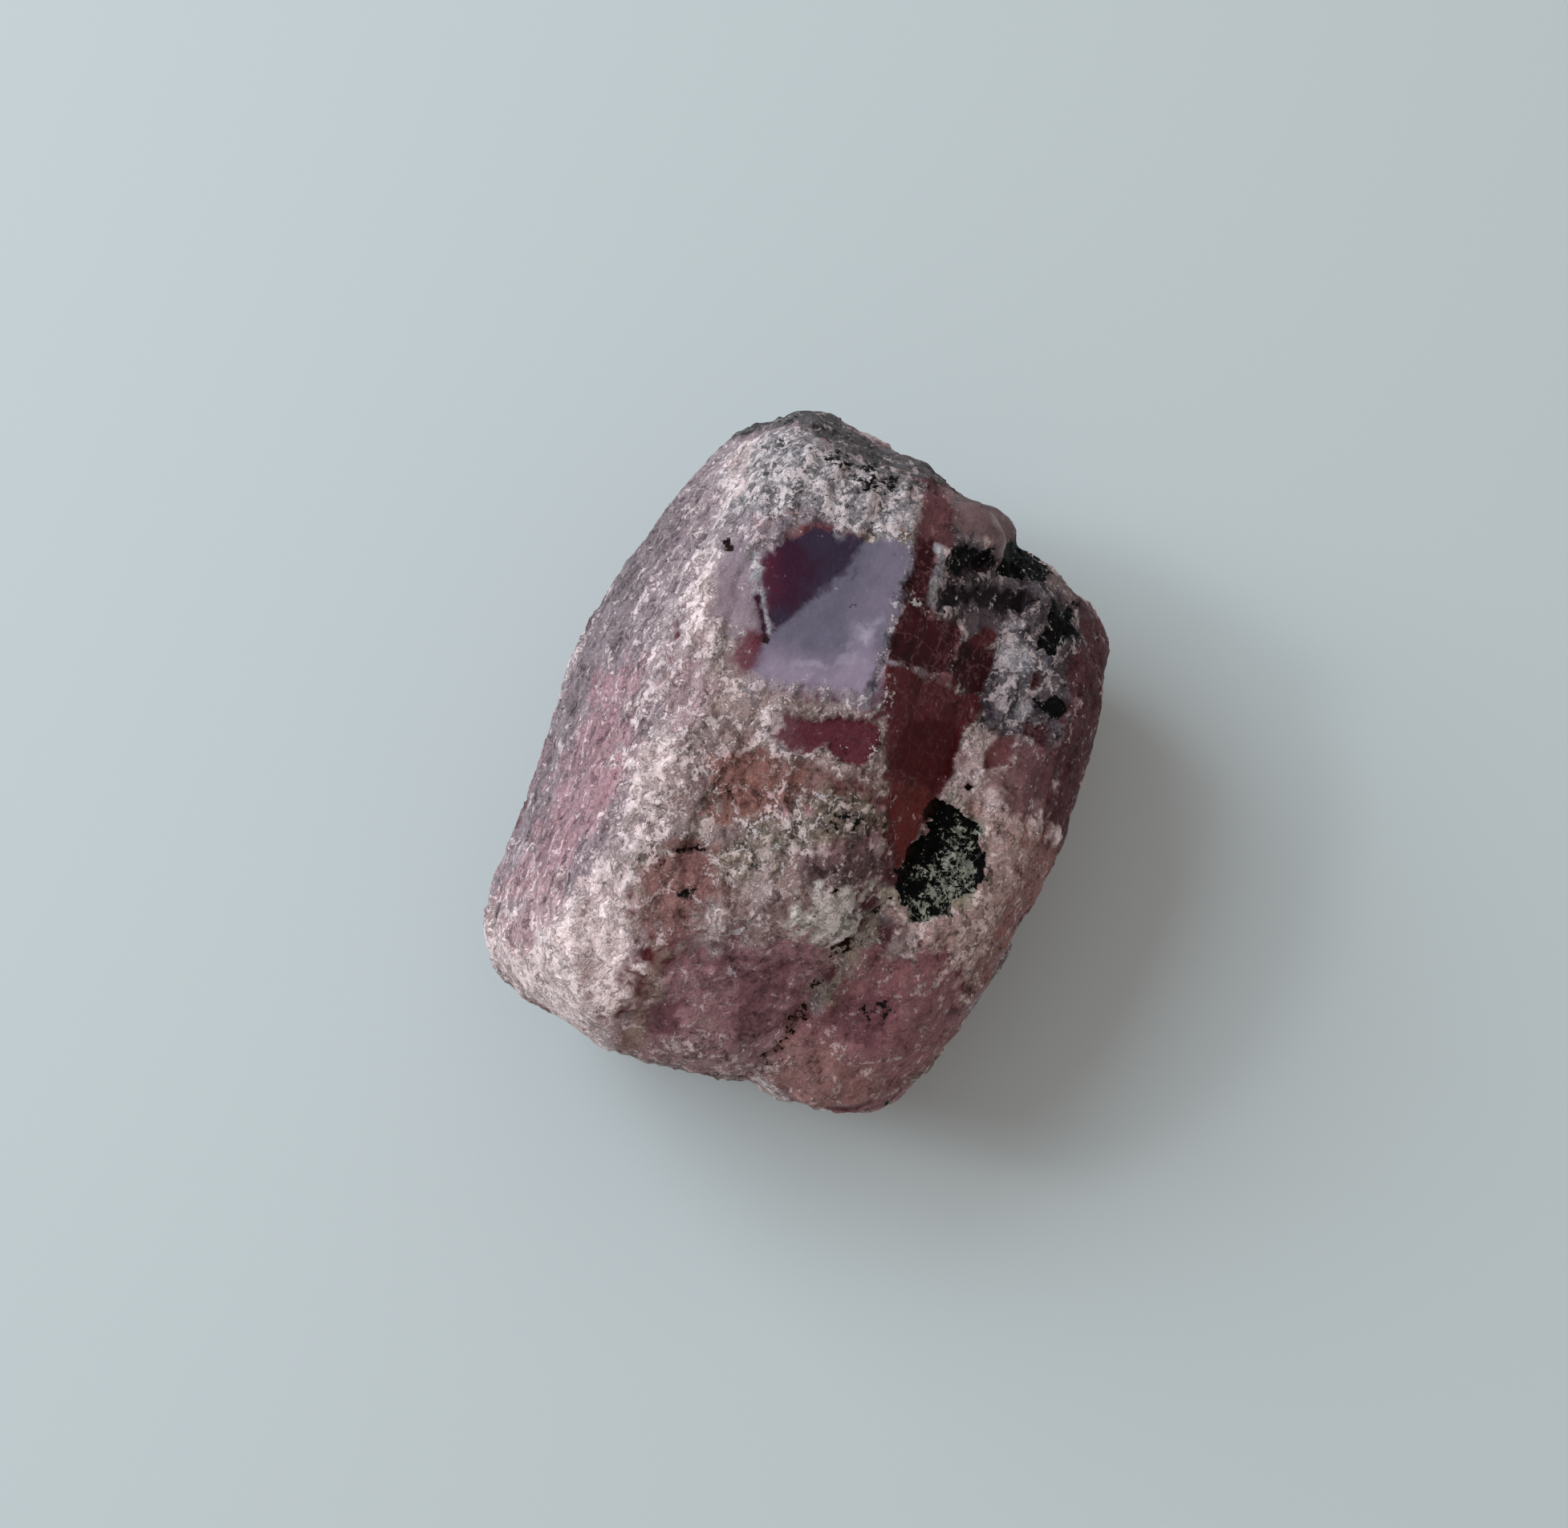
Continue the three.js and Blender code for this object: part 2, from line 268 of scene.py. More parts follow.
    patch([(-2.7, 6.2), (-1.5, 5.9), (-0.9, 6.3), (0.0, 6.4), (0.2, 6.9), (-2.0, 7.0)],
          0.4, 0.9, "cap"),
    stroke([(-3.7, 4.3), (-3.5, 3.7), (-3.3, 3.3)], 0.25, 0.25, 0.9, "flakeAndHighlight"),
    spot((-3.15, 3.25), 0.35, 0.15, 1.0, "flakeAndHighlight"),
    patch(stripOutline, 0.12, 1.0, "strip"),
    patch([(0.2, 6.9), (0.9, 7.0), (1.3, 5.9), (1.6, 5.0), (0.8, 5.0), (0.5, 6.0)],
          0.35, 1.0, "rubyBlack"),
    stroke([(0.95, 6.9), (1.2, 6.5), (1.3, 5.8), (1.5, 5.3)], 0.25, 0.12, 1.0, "flakeAndHighlight", 0.5),
    patch(blockOutline, 0.1, 1.0, "ruby"),
    patch(blockRightOutline, 0.15, 1.0, "rubyBlack"),
    patch([(3.0, 5.7), (3.4, 5.9), (3.6, 5.5), (3.0, 5.1)], 0.2, 1.0, "rubyRose"),
    patch(blockLowOutline, 0.12, 1.0, "rubyRose"),
    patch([(2.3, 1.9), (3.5, 2.7), (3.95, 2.4), (4.1, 1.4), (3.8, 0.6), (2.9, 0.5), (2.5, 0.4)],
          0.3, 1.0, "rubyDeep"),
    patch([(2.7, 0.1), (3.6, 0.5), (4.1, 0.3), (4.0, -2.1), (3.5, -1.8), (3.1, -1.0)],
          0.4, 1.0, "rubyBrown"),
    patch(redPatchOutline, 0.2, 1.0, "redPatch"),
    patch([(-1.2, 0.0), (-0.3, 0.4), (0.1, -0.5), (-0.5, -0.8), (-1.0, -0.5)], 0.6, 0.7, "plumPink"),
    stroke([(-1.2, 0.1), (-0.9, -0.6), (-0.2, -0.8)], 0.35, 0.5, 0.8, "ridge"),
    stroke([(4.2, 0.7), (4.9, 0.65), (5.6, 0.2), (6.1, -0.3), (6.35, -1.0)], 0.3, 0.25, 0.9, "sageRim"),
    patch([(4.5, -2.3), (5.0, -1.8), (5.6, -1.6), (6.3, -1.6), (6.1, -2.1), (5.2, -2.3)],
          0.25, 1.0, "cream"),
    patch([(3.6, -2.8), (4.1, -2.55), (4.5, -2.9), (4.0, -3.2)], 0.2, 0.9, "cream"),
    # the dark red rod, and a painted highlight along its edge
    stroke([(-3.1, 3.1), (-2.8, 2.8), (-2.35, 2.1)], 0.22, 0.1, 1.0, "plum", 0.3),
    stroke([(-2.95, 3.15), (-2.3, 2.3)], 0.07, 0.1, 0.8, "flakeAndHighlight", 0.3),
]

# Special marks on the upper side. Each is a number from 0 to 1 at every point of the mesh.
upperMarks = {
    "black": [  # black mineral
        patch([(1.3, 7.4), (1.7, 7.9), (2.4, 7.7), (2.7, 7.4), (2.0, 6.7), (1.5, 6.5)], 0.6, 0.62),
        patch([(2.5, 8.9), (3.0, 10.6), (4.2, 9.8), (4.0, 9.1), (4.0, 8.3), (2.8, 7.6), (2.5, 8.1)],
              0.25, 1.0),
        patch([(4.6, 7.9), (5.4, 8.4), (5.7, 7.2), (5.2, 6.2), (4.5, 6.2), (4.8, 6.9)], 0.35, 0.8),
        patch([(5.2, 4.6), (5.9, 5.1), (6.2, 4.8), (6.0, 4.2)], 0.3, 0.75),
        patch(pocketOutline, 0.2, 1.0),
        patch([(-3.9, 8.6), (-0.9, 8.6), (-1.0, 7.6), (-2.2, 7.5), (-3.4, 7.6)], 0.5, 0.43),
        patch([(-3.2, 6.0), (-2.6, 6.1), (-1.6, 6.6), (-2.6, 6.9)], 0.5, 0.3),
        patch([(-6.4, 8.4), (-4.4, 9.0), (-4.8, 9.4), (-6.2, 8.9)], 0.6, 0.35),
        patch([(1.4, -1.8), (1.8, -1.3), (2.3, -1.6), (1.8, -2.3)], 0.5, 0.38),
        patch([(0.3, -2.4), (0.6, -2.1), (0.9, -2.4), (0.5, -2.7)], 0.3, 0.4),
        stroke([(4.7, -6.1), (5.5, -5.7)], 0.25, 0.4, 0.5),
        stroke([(-1.1, -5.6), (-0.6, -5.6)], 0.35, 0.4, 0.45),
    ],
    "flecked": [  # where the black is grown over with sage grains
        patch([(4.9, -0.2), (5.6, 0.2), (6.4, -0.8), (6.0, -2.8), (4.6, -3.0), (4.7, -1.6)], 0.7, 1.0),
    ],
    "shadedCrack": [  # cracks, pits and edges, carved and painted dark as the shade in them
        stroke([(4.1, -2.9), (3.7, -4.0), (3.6, -4.9), (3.4, -5.5)], 0.1, 0.2, 0.6),
        stroke([(3.6, -4.6), (3.35, -5.4), (3.3, -6.4), (3.0, -7.9), (2.7, -9.4)], 0.14, 0.35, 0.55),
        stroke([(4.3, -2.6), (4.1, -0.8), (4.1, 0.4)], 0.12, 0.2, 0.8),
        stroke([(-2.1, -5.4), (-2.0, -4.7), (-1.4, -4.2), (-0.9, -4.1)], 0.05, 0.12, 0.75),
        stroke([(-4.75, 4.5), (-4.65, 4.2)], 0.16, 0.15, 1.0),
        spot((2.6, -3.6), 0.16, 0.15, 1.0),
        spot((4.8, 1.2), 0.14, 0.15, 1.0),
        spot((5.9, 1.1), 0.14, 0.15, 1.0),
        spot((-2.3, 2.05), 0.2, 0.15, 1.0),
        spot((-0.8, 3.1), 0.07, 0.12, 0.7),
        spot((-1.2, 6.15), 0.2, 0.2, 0.9),
        stroke([(-3.1, 5.0), (-3.15, 5.4)], 0.1, 0.15, 0.9),
        stroke([(-2.5, 5.85), (-1.4, 6.05)], 0.05, 0.15, 0.55),
        stroke([(-2.3, 3.9), (-2.1, 4.6)], 0.12, 0.2, 0.55, ragged=0.4),
        stroke([(-1.5, 4.3), (-1.3, 4.9), (-1.0, 5.3)], 0.12, 0.2, 0.5, ragged=0.4),
        stroke([(-0.7, 3.8), (-0.4, 4.2)], 0.1, 0.2, 0.5, ragged=0.4),
        stroke([(0.65, 5.3), (0.8, 4.2)], 0.05, 0.2, 0.5),
        stroke([(0.95, 4.7), (0.95, 3.7), (1.15, 3.0)], 0.05, 0.18, 0.5),
        stroke([(-1.4, -2.4), (-0.8, -2.9)], 0.08, 0.16, 0.6),
        stroke([(-0.8, -2.6), (-0.4, -1.5)], 0.05, 0.16, 0.6),
        stroke([(-5.3, -0.6), (-5.2, 0.4)], 0.03, 0.12, 0.65),
        stroke([(2.7, -8.4), (2.4, -8.9)], 0.14, 0.2, 0.8),
    ],
    "bleached": [  # thin pale lines and crumbs
        stroke([(0.2, -6.3), (1.0, -5.6)], 0.05, 0.14, 0.7),
        stroke([(-0.7, -6.7), (1.2, -6.3)], 0.03, 0.12, 0.45),
        stroke([(1.0, 4.95), (1.5, 5.05), (2.0, 5.35), (2.15, 5.6)], 0.07, 0.2, 0.62),
        stroke([(1.1, 3.0), (1.6, 3.1), (2.2, 3.3), (2.8, 3.7)], 0.06, 0.2, 0.55),
        stroke([(2.45, 4.7), (2.7, 4.2), (3.0, 3.6)], 0.06, 0.2, 0.5),
        stroke([(3.0, 4.9), (3.4, 4.7), (3.6, 4.2)], 0.05, 0.16, 0.45),
        stroke([(-0.6, -8.6), (0.8, -7.9)], 0.25, 0.5, 0.36),
        stroke([(2.0, 5.9), (2.1, 6.5)], 0.1, 0.2, 0.45),
        stroke([(2.5, 6.2), (2.5, 6.8)], 0.1, 0.2, 0.5),
        stroke([(3.0, 6.5), (3.0, 7.2)], 0.1, 0.2, 0.45),
        stroke([(3.4, 6.7), (3.5, 7.4)], 0.1, 0.2, 0.5),
        stroke([(0.2, -1.9), (0.9, -1.6), (1.5, -1.4), (1.9, -1.0)], 0.2, 0.4, 0.5),
        stroke([(-0.2, -3.3), (0.5, -3.2), (1.0, -3.6)], 0.2, 0.4, 0.42),
        stroke([(3.0, -2.9), (3.4, -3.4), (3.3, -4.2)], 0.2, 0.4, 0.45),
        stroke([(4.4, -4.0), (4.8, -4.6), (5.4, -4.8), (6.3, -4.4)], 0.15, 0.4, 0.42),
        stroke([(4.0, -5.6), (4.8, -4.6)], 0.12, 0.35, 0.4),
        spot((0.9, -7.0), 0.3, 0.3, 0.5),
        spot((2.45, 7.05), 0.16, 0.15, 0.9),
        stroke([(4.0, 0.4), (4.1, -1.0), (4.2, -2.2)], 0.05, 0.18, 0.5),
        stroke([(2.0, -0.1), (1.9, 1.2), (1.5, 2.2)], 0.2, 0.4, 0.45),
    ],
}

# Flat cleaved faces: outline, how wide the edge is, and how many mm below the surface they lie.
cleavedFaces = [
    (facetOutline, 0.3, 0.03),
    (stripOutline, 0.25, 0.03),
    (darkRowOutline, 0.3, 0.1),
    (blockOutline, 0.2, 0.06),
    (blockRightOutline, 0.3, 0.1),
    (blockLowOutline, 0.25, 0.05),
    (redPatchOutline, 0.3, 0.05),
]

relief = {
    "smoothing": 2,  # times that each CAD face is split in four and smoothed
    "chipSize": (1.1, 1.7, 1.1),  # mm across a broken face, longer along the crystal
    "chipTilt": 0.16,  # how steep it is
    "splinterSize": (0.34, 0.6, 0.34),
    "splinterTilt": 0.13,
    "terrace": 0.06,  # mm between growth steps
    "terraceCount": 5,  # steps from the middle to the top of the slow noise
    "crumb": 0.05,  # mm, as are the heights and depths below
    "streak": 0.05,
    "crustThickness": 0.12,
    "pocketDepth": 0.2,
    "crackDepth": 0.2,
    "bleachedHeight": 0.04,
    "floorFade": 0.8,  # the relief fades out this near the resting face
    "swells": [  # middle, radius and height in mm of rounded knobs; a hollow has a height below 0
        ((1.7, 8.5, 11.3), 1.1, 0.35),
        ((2.4, 8.1, 10.8), 0.7, 0.25),
        ((2.0, 9.5, 9.0), 1.3, 0.45),
        ((-2.6, 9.5, 11.6), 2.4, -0.6),
        ((-7.2, 2.5, 8.0), 7.0, 0.3),
        ((6.6, -7.2, 7.6), 2.6, -0.35),
    ],
}


def smoothStep(value, low, high):
    # from 0 at low to 1 at high; high may be the smaller
    share = np.clip((value - low) / (high - low), 0, 1)
    return share * share * (3 - 2 * share)


def distanceToPath(spots, path):
    nearest = np.full(len(spots), np.inf)
    for start, end in zip(path, path[1:]):
        start = np.array(start)
        along = np.array(end) - start
        share = np.clip((spots - start) @ along / (along @ along), 0, 1)
        gap = spots - start - share[:, None] * along
        nearest = np.minimum(nearest, np.hypot(gap[:, 0], gap[:, 1]))
    return nearest


def insideOutline(spots, outline):
    x, y = spots[:, 0], spots[:, 1]
    inside = np.zeros(len(spots), bool)
    for (ax, ay), (bx, by) in zip(outline, outline[1:] + outline[:1]):
        crosses = (ay > y) != (by > y)
        inside ^= crosses & (x < (bx - ax) * (y - ay) / ((by - ay) or 1e-9) + ax)
    return inside


def markStrength(place, mark):
    # from 0 outside a patch or stroke to its strength inside, with a ragged edge
    spots, ragged = place
    if "path" in mark:
        depth = 0.5 * mark["width"] - distanceToPath(spots, mark["path"])
    else:
        closed = mark["outline"] + mark["outline"][:1]
        edge = distanceToPath(spots, closed)
        depth = np.where(insideOutline(spots, mark["outline"]), edge, -edge)
    depth += mark["ragged"] * mark["soft"] * ragged
    fade = (0.5 - 0.25 * mark["ragged"]) * mark["soft"]
    return mark["strength"] * smoothStep(depth, -fade, fade)


def noiseAt(points, waves, octaves, shift):
    # smooth noise from about -1 to 1; waves is how many per mm along each axis
    scaled = points * np.array(waves) + shift
    return np.array([noise.fractal(p, 0.9, 2.0, octaves) for p in scaled.tolist()])


def chipsAt(points, size, shift):
    # each cell of broken crystal is a small tilted plane, a little higher or lower than its neighbours
    height = np.empty(len(points))
    for i, p in enumerate((points / np.array(size) + shift).tolist()):
        seed = noise.voronoi(p)[1][0]
        tilt = noise.cell_vector(seed * 37.3)  # the factor only shuffles the cells
        height[i] = (Vector(p) - seed).dot(tilt) + 0.4 * tilt.x
    return height


def copyOfNode(name):
    # a merged copy of the CAD stone, in mm, with finer faces
    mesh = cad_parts[name].data.copy()
    work = bmesh.new()
    work.from_mesh(mesh)
    bmesh.ops.scale(work, vec=(1 / millimetre,) * 3, verts=work.verts)
    bmesh.ops.remove_doubles(work, verts=work.verts, dist=0.001)
    work.to_mesh(mesh)
    work.free()
    mesh.materials.clear()
    stone = bpy.data.objects.new("rubyStone", mesh)
    bpy.context.scene.collection.objects.link(stone)
    finer = stone.modifiers.new("finer", "SUBSURF")
    finer.levels = finer.render_levels = relief["smoothing"]
    evaluated = stone.evaluated_get(bpy.context.evaluated_depsgraph_get())
    fine = bpy.data.meshes.new_from_object(evaluated)
    stone.modifiers.clear()
    stone.data = fine
    return stone


def readPoints(mesh):
    points = np.empty(len(mesh.vertices) * 3)
    mesh.vertices.foreach_get("co", points)
    normals = np.empty(len(mesh.vertices) * 3)
    mesh.vertices.foreach_get("normal", normals)
    return points.reshape(-1, 3), normals.reshape(-1, 3)


def upperSide(points, normals):
    # where the marks hold; lower down the wild mixture takes over along a ragged line
    ragged = noiseAt(points, (0.4, 0.4, 0.4), 5, 13.7)
    high = smoothStep(points[:, 2] + 2.2 * ragged, 5.0, 7.0)
    return high * smoothStep(normals[:, 2] + 0.2 * ragged, 0.0, 0.25)


def wobbleAt(points, waves, size, shift=0.0):
    # a smooth sideways slip of up to size, in mm
    slip = [noise.noise_vector(p) for p in (points * waves + shift).tolist()]
    return np.array(slip)[:, :2] * size


def placeOnTop(points):
    # where each point is seen from above, a little wobbled, and how ragged a mark's edge is there
    low = smoothStep(points[:, 2], 9.5, 5.5)[:, None]  # the walls aren't painted in straight lines
    wobble = wobbleAt(points, 1.3, 0.07) + wobbleAt(points, 4.1, 0.04)
    wobble += wobbleAt(points, 0.5, 1.2, 5.3) * low
    ragged = np.array([noise.fractal(p, 0.35, 2.0, 4) for p in (points * 1.4 + 52.3).tolist()])
    return points[:, :2] + wobble, ragged / np.abs(ragged).max() * 1.6


def wildGrowth(points):
    # the mixture that grew on the sides that the marks don't cover
    mixture = np.tile(growths["side"], (len(points), 1))
    grit = 0.14 * noiseAt(points, (1.6, 1.1, 1.6), 4, 55.1)
    patches = [  # a growth, waves per mm, noise level where it starts and where it is full, shift
        ("front", 0.22, -0.1, 0.25, 61.3),
        ("ridge", 0.3, 0.05, 0.4, 17.1),
        ("sideGrey", 0.2, 0.05, 0.45, 91.3),
        ("lobe", 0.33, 0.1, 0.35, 47.9),
        ("white", 0.35, 0.3, 0.5, 5.9),
        ("rim", 0.3, 0.3, 0.5, 71.3),
        ("sage", 0.33, 0.38, 0.55, 27.9),
        ("shelfRed", 0.3, 0.32, 0.46, 41.7),
        ("rubyRose", 0.3, 0.46, 0.54, 41.7),
    ]
    for name, waves, low, high, shift in patches:
        share = smoothStep(noiseAt(points, (waves, 0.75 * waves, waves), 4, shift) + grit, low, high)
        mixture += share[:, None] * (growths[name] - mixture)
    return mixture


def paintGrowth(points, place, upper):
    # colour and growth parts at every point
    mixture = wildGrowth(points)
    for mark in upperGrowth:
        share = markStrength(place, mark) * upper
        mixture += share[:, None] * (growths[mark["kind"]] - mixture)
    return mixture


def markWeights(points, place, upper):
    # how much of each special mark every point has, with wild black spots on the hidden sides
    wild = {
        "black": 0.8 * smoothStep(noiseAt(points, (0.42, 0.42, 0.42), 4, 83.1), 0.44, 0.7),
        "flecked": np.full(len(points), 0.4),
    }
    weights = {"edge": np.zeros(len(points))}
    for outline, soft, _ in cleavedFaces:
        share = markStrength(place, patch(outline, soft + 0.15, 1.0)) * upper
        weights["edge"] = np.maximum(weights["edge"], 4 * share * (1 - share))
    for name, marks in upperMarks.items():
        placed = np.zeros(len(points))
        for mark in marks:
            placed = np.maximum(placed, markStrength(place, mark))
        weights[name] = np.clip(placed * upper + wild.get(name, 0.0) * (1 - upper), 0, 1)
    return weights


def sculpt(points, normals, weights, place, upper):
    # moves every point along its normal, in mm; steep walls and glassy places are smoother
    steep = 1 - smoothStep(np.abs(normals[:, 2]), 0.55, 0.9)
    bare = 1 - weights["gloss"]
    crust = 0.5 * (weights["fleck"] + weights["gap"])
    rise = relief["chipTilt"] * chipsAt(points, relief["chipSize"], 3.7) * bare * (1 - 0.4 * steep)
    rough = bare * (0.1 + 1.3 * crust) * (1 - 0.55 * steep)
    rise += relief["splinterTilt"] * chipsAt(points, relief["splinterSize"], 9.2) * rough
    steps = relief["terraceCount"] * noiseAt(points, (0.5, 0.35, 0.5), 4, 19.1)
    terraces = np.floor(steps) + smoothStep(steps - np.floor(steps), 0.35, 0.65)
    rise += relief["terrace"] * terraces * bare * (1 - 0.5 * steep)
    crumbs = np.abs(noiseAt(points, (1.7, 1.1, 1.7), 4, 7.7))
    rise += relief["crumb"] * (0.5 - 2.2 * crumbs) * rough
    rise += relief["streak"] * noiseAt(points, (2.4, 0.3, 2.4), 3, 33.3) * (0.2 + 0.8 * steep) * bare
    rise += relief["crustThickness"] * (weights["fleck"] - 0.3) * bare
    lumps = noiseAt(points, (2.6, 2.6, 2.6), 3, 71.7)
    rise -= relief["pocketDepth"] * weights["black"] * (0.6 + 0.6 * lumps)
    rise -= relief["crackDepth"] * weights["shadedCrack"]
    rise += relief["bleachedHeight"] * weights["bleached"]
    offFloor = smoothStep(points[:, 2], 0.02, relief["floorFade"])
    moved = points + normals * (rise * offFloor)[:, None]
    cleave(moved, points, place, upper)
    swell(moved, points, normals)
    moved[:, 2] = np.maximum(moved[:, 2], 0)
    return moved


def cleave(moved, points, place, upper):
    # presses each cleaved face onto one plane, a little below its rim
    across = np.column_stack((np.ones(len(points)), points[:, 0], points[:, 1]))
    for outline, soft, depth in cleavedFaces:
        share = markStrength(place, patch(outline, soft, 1.0)) * upper
        core = share > 0.5
        plane = np.linalg.lstsq(across[core], points[core, 2], rcond=None)[0]
        face = across @ plane - depth
        moved[:, 2] += share * np.clip(face - moved[:, 2], -0.5, 0.5)


def swell(moved, points, normals):
    # smooth rounded knobs and hollows
    for centre, radius, height in relief["swells"]:
        away = np.linalg.norm(points - np.array(centre), axis=1) / radius
        moved += normals * (height * smoothStep(away, 1.0, 0.2))[:, None]


def makeStone():
    stone = copyOfNode("ruby_crystal")
    points, normals = readPoints(stone.data)
    place, upper = placeOnTop(points), upperSide(points, normals)
    mixture = paintGrowth(points, place, upper)
    weights = markWeights(points, place, upper)
    weights.update(zip(growthParts, mixture[:, 3:].T))
    moved = sculpt(points, normals, weights, place, upper)
    stone.data.vertices.foreach_set("co", (moved * millimetre).ravel())
    for name, values in weights.items():
        attribute = stone.data.attributes.new(name, "FLOAT", "POINT")
        attribute.data.foreach_set("value", values)
    tint = stone.data.attributes.new("tint", "FLOAT_COLOR", "POINT")
    tint.data.foreach_set("color", np.column_stack((mixture[:, :3], np.ones(len(points)))).ravel())
    stone.data.shade_smooth()
    stone.data.update()
    return stone


class Wire:
    # one output of a node; arithmetic on it adds Math nodes to its tree
    def __init__(self, tree, socket=None):
        self.tree = tree
        self.socket = socket

    def node(self, kind, settings=None, sockets=None, out=0):
        # a new node: its type, its settings, the value or link of each socket, and which output is wanted
        made = self.tree.nodes.new(kind)
        for name, value in (settings or {}).items():
            setattr(made, name, value)
        for name, value in (sockets or {}).items():
            if isinstance(value, Wire):
                self.tree.links.new(value.socket, made.inputs[name])
            else:
                made.inputs[name].default_value = value
        return Wire(self.tree, made.outputs[out] if made.outputs else None)

    def zone(self, name):
        # a number kept at every point of the mesh
        return self.node("ShaderNodeAttribute", {"attribute_name": name}, None, "Fac")

    def math(self, operation, first, second=0.0):
        return self.node("ShaderNodeMath", {"operation": operation}, {0: first, 1: second})

    def __add__(self, other):
        return self.math("ADD", self, other)

    def __sub__(self, other):
        return self.math("SUBTRACT", self, other)

    def __rsub__(self, other):
        return self.math("SUBTRACT", other, self)

    def __mul__(self, other):
        return self.math("MULTIPLY", self, other)

    def __abs__(self):
        return self.math("ABSOLUTE", self)

    def __or__(self, other):
        # the larger of the two, where masks lie over each other
        return self.math("MAXIMUM", self, other)

    __radd__ = __add__
    __rmul__ = __mul__

    def vector(self, operation, other=(0, 0, 0)):
        # sums on vectors: ADD, SUBTRACT, MULTIPLY or NORMALIZE
        return self.node("ShaderNodeVectorMath", {"operation": operation}, {0: self, 1: other})

    def scaled(self, factor):
        return self.node("ShaderNodeVectorMath", {"operation": "SCALE"}, {0: self, "Scale": factor})

    def mix(self, low, high):
        # low where this is 0, high where it is 1; both are values
        return low + self * (high - low)

    def ramp(self, low, high):
        # from 0 at low to 1 at high, smooth between; high may be the smaller
        return self.node("ShaderNodeMapRange", {"interpolation_type": "SMOOTHSTEP"},
                         {"Value": self, "From Min": low, "From Max": high})

    def blend(self, low, high):
        # low where this is 0, high where it is 1; both are colours, which go in sockets 6 and 7
        return self.node("ShaderNodeMix", {"data_type": "RGBA"}, {0: self, 6: low, 7: high}, 2)


stoneFinish = {
    "gap": 0.42,  # brightness of the painted shade in the gaps between grains, next to the body colour
    "blush": (0.92, 0.74, 0.78),  # the body colour is multiplied by this where it is redder
    "blushAmount": 0.4,
    "cleavageAmount": 0.7,
    "glassyRoughness": 0.3,
    "crustRoughness": 0.7,
    "bumpDepth": 0.00014,  # metres
    "grainTilt": 0.75,  # how far single grains lean out of the surface
    "lightInside": 0.1,  # how much light scatters in the stone
    "lightDepth": 0.0002,  # metres
    "refraction": 1.6,
    "shine": 0.11,
    # white of the pale crust flecks, and also of the painted glints
    "crustAndGlintWhite": "ffeaea",
    "paleness": 0.65,  # how far a pale fleck goes from a lighter body colour to crustAndGlintWhite
    "cleavage": "8a5c60",
    "black": "060505",
    # sage flecks on the black, also the colour of its painted glints
    "fleckAndGlintOnBlack": "ccd0c0",
    # painted shade in cracks and pits
    "shadedCrack": "27120f",
    "bleached": "ded4d6",
}


